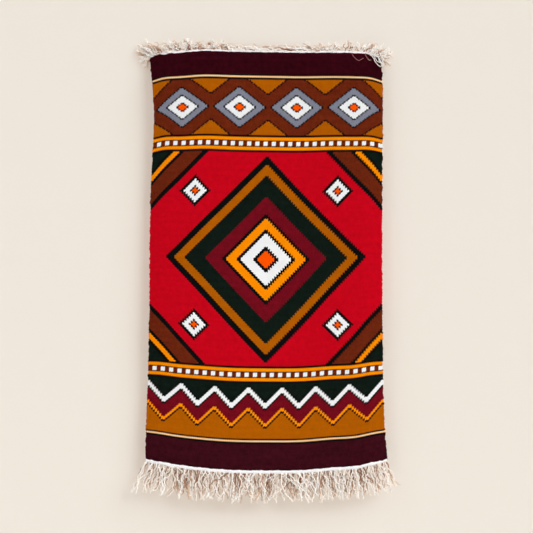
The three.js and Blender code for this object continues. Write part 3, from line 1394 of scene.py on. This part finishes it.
@dataclass
class CornerTufts(StrandPiece):
    """Strands that fan out sideways and down from the two top corners.

    `lift` is how far in front of the cloth's back their roots are, as a share of the cloth's
    thickness. They have a set share of the locks' painted light. Angles are in degrees.
    """

    strands_each: int = 6
    reach: float = 1.0
    lift: float = 1.3
    painted_light_share: float = 1.0
    root_down: float = -2.8
    root_range: tuple[float, float] = (-2, 3.5)
    root_spread: float = 0.006
    length_range: tuple[float, float] = (0.6, 1.08)
    jitter: float = 10.0
    wobble: float = 34.0
    wobble_range: tuple[float, float] = (0.5, 1.6)
    wave_range: tuple[float, float] = (9, 20)
    depth_bend: float = 14.0
    depth_waves: float = 7.0
    depth_lean: float = 6.0
    steps: int = 32

    def strand_routes(self) -> tuple[Array, Array]:
        """Works out the strands.

        Returns:
            Their points, and how much paler than the yarn each is.
        """
        rows = {key: np.repeat(values, self.strands_each) for key, values in CORNER_LOCKS.items()}
        count = len(rows["lean"])
        root_down = self.root_down + self.rng.uniform(*self.root_range, count)
        across = np.clip(rows["across"] + self.rng.normal(0, self.root_spread, count), -1, 1)
        roots = FORM.points(across, root_down, FORM.thickness * self.lift)
        length = rows["length"] * self.rng.uniform(*self.length_range, count) * self.reach
        share = np.linspace(0, 1, self.steps)
        lean = np.radians(rows["lean"] + self.rng.normal(0, self.jitter, count))[:, None]
        wave = self.rng.uniform(*self.wave_range, (count, 1))
        start = self.rng.uniform(0, FULL_TURN, (count, 1))
        turn = np.sin(share * length[:, None] / wave * FULL_TURN + start)
        wobble = np.radians(self.wobble) * turn * self.rng.uniform(*self.wobble_range, (count, 1))
        bend = np.radians(self.depth_bend) * np.cos(share * self.depth_waves + start)
        path = walk(lean + wobble, bend + np.radians(self.depth_lean), length)
        return roots[:, None, :] + path, rows["paler"] * self.painted_light_share


@dataclass(kw_only=True)
class LooseThreads(StrandPiece):
    """Threads with listed routes, each point as x, how far out from the cloth's face, and z.

    Each thread wavers round its route as a coil does, with its own length of crimp.
    """

    routes: list[list[tuple[float, float, float]]]
    waver: float = 0.7
    seed: int = 51
    steps: int = 48
    crimp_range: tuple[float, float] = (4.5, 7.5)
    latest_start: float = 6.0
    upright_pace: float = 0.83

    def strand_routes(self) -> tuple[Array, float]:
        """Works out the threads.

        Returns:
            Their points, and how much paler than the yarn they are.
        """
        lines = []
        for route in self.routes:
            points = np.array(route, float)
            hops = np.linalg.norm(np.diff(points, axis=0), axis=1)
            walked = np.concatenate([[0], np.cumsum(hops)])
            at = np.linspace(0, walked[-1], self.steps)
            x, out, z = (curve_through(walked, column, at) for column in points.T)
            crimp = at / self.rng.uniform(*self.crimp_range) * FULL_TURN
            x = x + self.waver * np.sin(crimp + self.rng.uniform(0, self.latest_start))
            z = z + self.waver * np.cos(crimp * self.upright_pace + self.rng.uniform(0, self.latest_start))
            face = FORM.points(x / (FORM.width / 2), -z, FORM.thickness)
            lines.append(np.stack([x, face[:, 1] - out, z], axis=1))
        return np.stack(lines), 0.0


# The strands that have fallen forwards over the top right corner, as x, how far out, and z.
FALLEN_STRANDS = [
    [(217, 1.6, 0), (221, 2.4, -3), (229, 3.0, -10), (233, 2.8, -16), (235, 3.2, -22), (246, 2.6, -33)],
    [(222, 1.8, 1), (231, 3.2, -6), (236, 3.6, -16), (240, 3.0, -21), (246, 3.4, -23), (249, 3.0, -29)],
    [(228, 2.0, 2), (239, 4.0, -9), (242, 3.4, -13), (243, 3.6, -19), (246, 3.0, -22)],
    [(240, 2.0, 3), (242, 3.6, -10), (244, 4.4, -14), (249, 4.0, -15), (256, 3.0, -19)],
    [(245, 1.8, 0), (248, 3.6, -8), (252, 3.4, -16), (251, 3.0, -23)],
    [(244, 2.2, -14), (246, 3.6, -20), (249, 3.8, -27), (247, 3.0, -33)],
]
THREAD_TAILS = [
    [(184.6, 0.6, -2), (187.5, 1.4, -8), (192, 1.8, -13.5), (199.6, 1.6, -18.7), (210, 2.0, -13.3)],
    [(213.3, 0.6, -2), (215, 1.4, -8), (217.6, 1.8, -12.4), (222.1, 1.6, -17.8), (227.5, 1.8, -17.2)],
]
STRAY_STRANDS = [
    [(-112, 2, 9), (-98, 0, 16), (-80, -1, 19), (-55, -2, 18), (-30, -2, 16), (-8, -1, 15), (20, 0, 14)],
    [(-20, 0, 10), (8, -1, 14), (35, -2, 15), (62, -1, 14), (88, 0, 11)],
    [(60, 1, 8), (82, 0, 13), (104, -2, 15), (128, -2, 14), (150, 0, 16)],
    [(-205, 2, 10), (-190, 0, 19), (-172, -2, 24), (-150, -1, 21), (-131, 1, 25)],
]


# ---------------------------------------------------------------- the studio


@dataclass
class Studio:
    """A pale wall behind the hanging, a pale floor, soft lights and the camera.

    Places and the camera's view are in metres, and the sensor is in millimetres.
    """

    wall_y: float = 0.0145
    floor_z: float = -4.0
    reach: float = 9.0
    sky_strength: float = 0.23
    evenness: float = 0.42
    view_distance: float = 4.0
    view_width: float = 1.144
    view_x: float = 0.002
    view_z: float = -0.460
    sensor: float = 36.0

    PALE = colour(240, 232, 220)
    SHADED = colour(231, 236, 233)
    GLOW = colour(245, 221, 203)
    WHITE = (1.0, 1.0, 1.0, 1.0)
    UPRIGHT = (math.radians(90), 0, 0)

    # Each lamp's name, its strength, its spread in degrees, and the way that its light goes.
    LAMPS = (
        ("key", 2.85, 40, (-1.4, 1.0, -1.25)),
        ("fill", 0.75, 38, (1.0, 1.0, -1.1)),
        ("lamp_behind", 1.7, 40, (-0.35, -1.0, -0.45)),
    )

    def build(self) -> None:
        """Makes the whole studio: the wall, the floor, the lights, the sky and the camera."""
        paint = self.paint()
        wall = self.plane("wall", (0, self.wall_y, 0), self.UPRIGHT, paint)
        floor = self.plane("floor", (0, 0, self.floor_z), (0, 0, 0), paint)
        self.lights()
        self.sky()
        self.camera()

    def plane(self, name: str, place: tuple, turn: tuple, paint: Material) -> Object:
        """Makes a large square of backdrop.

        Args:
            name: Its name.
            place: Where its middle is.
            turn: How it is turned from lying flat.
            paint: Its material.

        Returns:
            The square.
        """
        bm = bmesh.new()
        bmesh.ops.create_grid(bm, x_segments=1, y_segments=1, size=self.reach)
        obj = new_object(name, write_mesh(bm, bpy.data.meshes.new(name)))
        obj.location = place
        obj.rotation_euler = turn
        obj.data.materials.append(paint)
        return obj

    def paint(self) -> Material:
        """Pale matt paint with soft, warm shadows.

        As it is seen, part of it glows warmly and the rest is cool, so the shadows come out warm.
        It is clear from behind and to the light from behind, so that the hanging's back shows.

        Returns:
            The material of the wall and floor.
        """
        shader = Shader("pale_paint")
        shader.finish(shader.mix(shader.seen(), self.PALE, self.SHADED), 1.0, 0.0)
        glow = shader.node("ShaderNodeEmission", {"Color": self.GLOW, "Strength": 1.0})
        pale = shader.blend(shader.seen() * self.evenness, shader.surface, glow)
        behind = shader.result("ShaderNodeNewGeometry", output="Backfacing")
        shadow = shader.result("ShaderNodeLightPath", output="Is Shadow Ray")
        clear = shader.node("ShaderNodeBsdfTransparent")
        both = shader.blend((behind + shadow).clipped(), pale, clear)
        shader.tree.links.new(both.outputs[0], shader.output.inputs["Surface"])
        return shader.material

    def lights(self) -> None:
        """A broad key light from the upper right, a weak one from the left, and one behind."""
        for name, strength, spread, way in self.LAMPS:
            lamp = new_object(name, bpy.data.lights.new(name, "SUN"))
            lamp.data.energy = strength
            lamp.data.angle = math.radians(spread)
            lamp.rotation_euler = Vector(way).to_track_quat("-Z", "Y").to_euler()

    def sky(self) -> None:
        """An even sky that gives weak white light and shows as pale as the wall."""
        world = bpy.data.worlds.new("sky")
        bpy.context.scene.world = world
        nodes = Nodes(world)
        kind = "ShaderNodeBackground"
        light = nodes.node(kind, {"Color": self.WHITE, "Strength": self.sky_strength})
        shown = nodes.node(kind, {"Color": self.PALE, "Strength": 1.0})
        both = nodes.blend(nodes.seen(), light, shown)
        nodes.node("ShaderNodeOutputWorld", [both.outputs[0]])

    def camera(self) -> None:
        """Looks straight at the hanging from the front."""
        camera = new_object("camera", bpy.data.cameras.new("camera"))
        camera.data.sensor_width = self.sensor
        camera.data.lens = self.sensor * self.view_distance / self.view_width
        low, high = CAD_BOX
        depth = (low.y + high.y) / 2 - self.view_distance
        camera.location = (self.view_x, depth, self.view_z)
        camera.rotation_euler = self.UPRIGHT
        bpy.context.scene.camera = camera


# ---------------------------------------------------------------- the whole hanging

# How far below the cloth's top edge the headings' edges and the fringes' roots are.
TOP_HEADING = {"inner": 0.5, "outer": -4.1}
BOTTOM_HEADING = {"inner": FORM.drop + 1.3, "outer": FORM.drop + 8.0}
TOP_ROOTS = -3.8
BOTTOM_ROOTS = FORM.drop + 7.4


def strand_pieces() -> list[StrandPiece]:
    """The layers and groups of strands of the two fringes.

    Returns:
        The pieces, from the bottom up.
    """
    bottom = {
        "node": "fringe_bottom",
        "root_down": BOTTOM_ROOTS,
        "upwards": False,
        "locks": BOTTOM_LOCKS,
        "curl": Curl(bend=24, bend_length=32, crimp=27, crimp_length=10, depth_bend=16, limit=2.6),
        "farthest": 66.0,
    }
    top = {
        "node": "fringe_top",
        "root_down": TOP_ROOTS,
        "upwards": True,
        "locks": TOP_LOCKS,
        "curl": Curl(bend=72, bend_length=20, crimp=30, crimp_length=9, depth_bend=28, limit=1.8),
        "farthest": 25.0,
        "steps": 36,
    }
    # Yarns of low whiteness are painted brown as shade: the layers behind, and the shade lines among the
    # white strands, stand for strands in shade.
    bold = Yarn(0.7, shade_lines=0.06, ply_shade=0.0)
    curly = Yarn(0.62, shade_lines=0.2, ply_shade=0.05)
    plain = Yarn(0.55, white=0.85, shade_lines=0.45)
    shade_toned = Yarn(0.8, white=0.12, plies=1)
    top_shade_yarn = Yarn(0.7, white=0.4, shade_lines=0.3, plies=1)
    mixed = Yarn(0.66, shade_lines=0.18, ply_shade=0.0)
    shade_brown = Yarn(0.65, white=0.4, shade_lines=0.25, plies=1)
    between = {"layer": 0.7, "set_back": 1.5, "strands": 80}
    behind = {"layer": 0.1, "strands": 156}
    return [
        Fringe("hanging_strands", bold, 11, **bottom, layer=1.25, strands=108, reach=1.1, tuft_pull=0.9),
        Fringe("hanging_strands_between", plain, 12, **bottom, **between, tuft_pull=0.7),
        Fringe("hanging_strands_behind", shade_toned, 13, **bottom, **behind, reach=0.9, set_back=4.0),
        Fringe("standing_strands", curly, 21, **top, layer=1.25, reach=1.65),
        Fringe("standing_strands_between", plain, 23, **top, **between, reach=1.5),
        Fringe("standing_strands_behind", top_shade_yarn, 22, **top, **behind, reach=1.4, set_back=2.0),
        CornerTufts("corner_tufts", mixed, 41, strands_each=4),
        CornerTufts("corner_tufts_behind", shade_brown, 42, reach=0.85, lift=0.2, painted_light_share=0.0),
        LooseThreads("fallen_strands", Yarn(0.56, ply_shade=0.0), routes=FALLEN_STRANDS, waver=0.4),
        # The stray strands are painted half white, as the shaded side along them.
        LooseThreads("stray_strands", Yarn(0.45, white=0.45), routes=STRAY_STRANDS, steps=60),
    ]


def main() -> None:
    """Builds the tapestry and the studio, and says what was built."""
    logging.basicConfig(level=logging.INFO, format="%(name)s: %(message)s")
    bpy.context.scene.view_settings.view_transform = "Standard"
    Studio().build()
    cotton = CottonFinish()
    cloth = TapestryCloth().build(WoolFinish().material())
    settle(cloth, "tapestry_cloth")
    woven = cotton.heading()
    headings = [
        ("heading_top", Heading("upper_band", **TOP_HEADING, rows=6, left_swell=0.9, knots=1.0)),
        ("heading_bottom", Heading("lower_band", **BOTTOM_HEADING)),
    ]
    sewn = [settle(heading.build(woven), node) for node, heading in headings]
    spun = cotton.strands("cotton_fringe")
    sewn += [settle(piece.build(spun), piece.node) for piece in strand_pieces()]
    thin = Yarn(0.42, white=0.5, plies=1)
    tails = LooseThreads("thread_tails", thin, seed=52, routes=THREAD_TAILS, waver=0.1)
    pink = CottonFinish(soil_and_shade_cream=colour(240, 160, 158), shade_brown=colour(180, 90, 90)).strands("faded_weft")
    sewn.append(settle(tails.build(pink), tails.node))


def settle(piece: Object, node: str) -> Object:
    """Puts a piece in its node's place, on the hanging's one body, and reports it.

    Args:
        piece: The piece.
        node: The node that it stands for.

    Returns:
        The piece.
    """
    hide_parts(node)
    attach(piece, BODY)
    piece.data.calc_loop_triangles()
    LOG.info("%s: %d triangles", piece.name, len(piece.data.loop_triangles))
    return piece


if __name__ == "__main__":
    main()
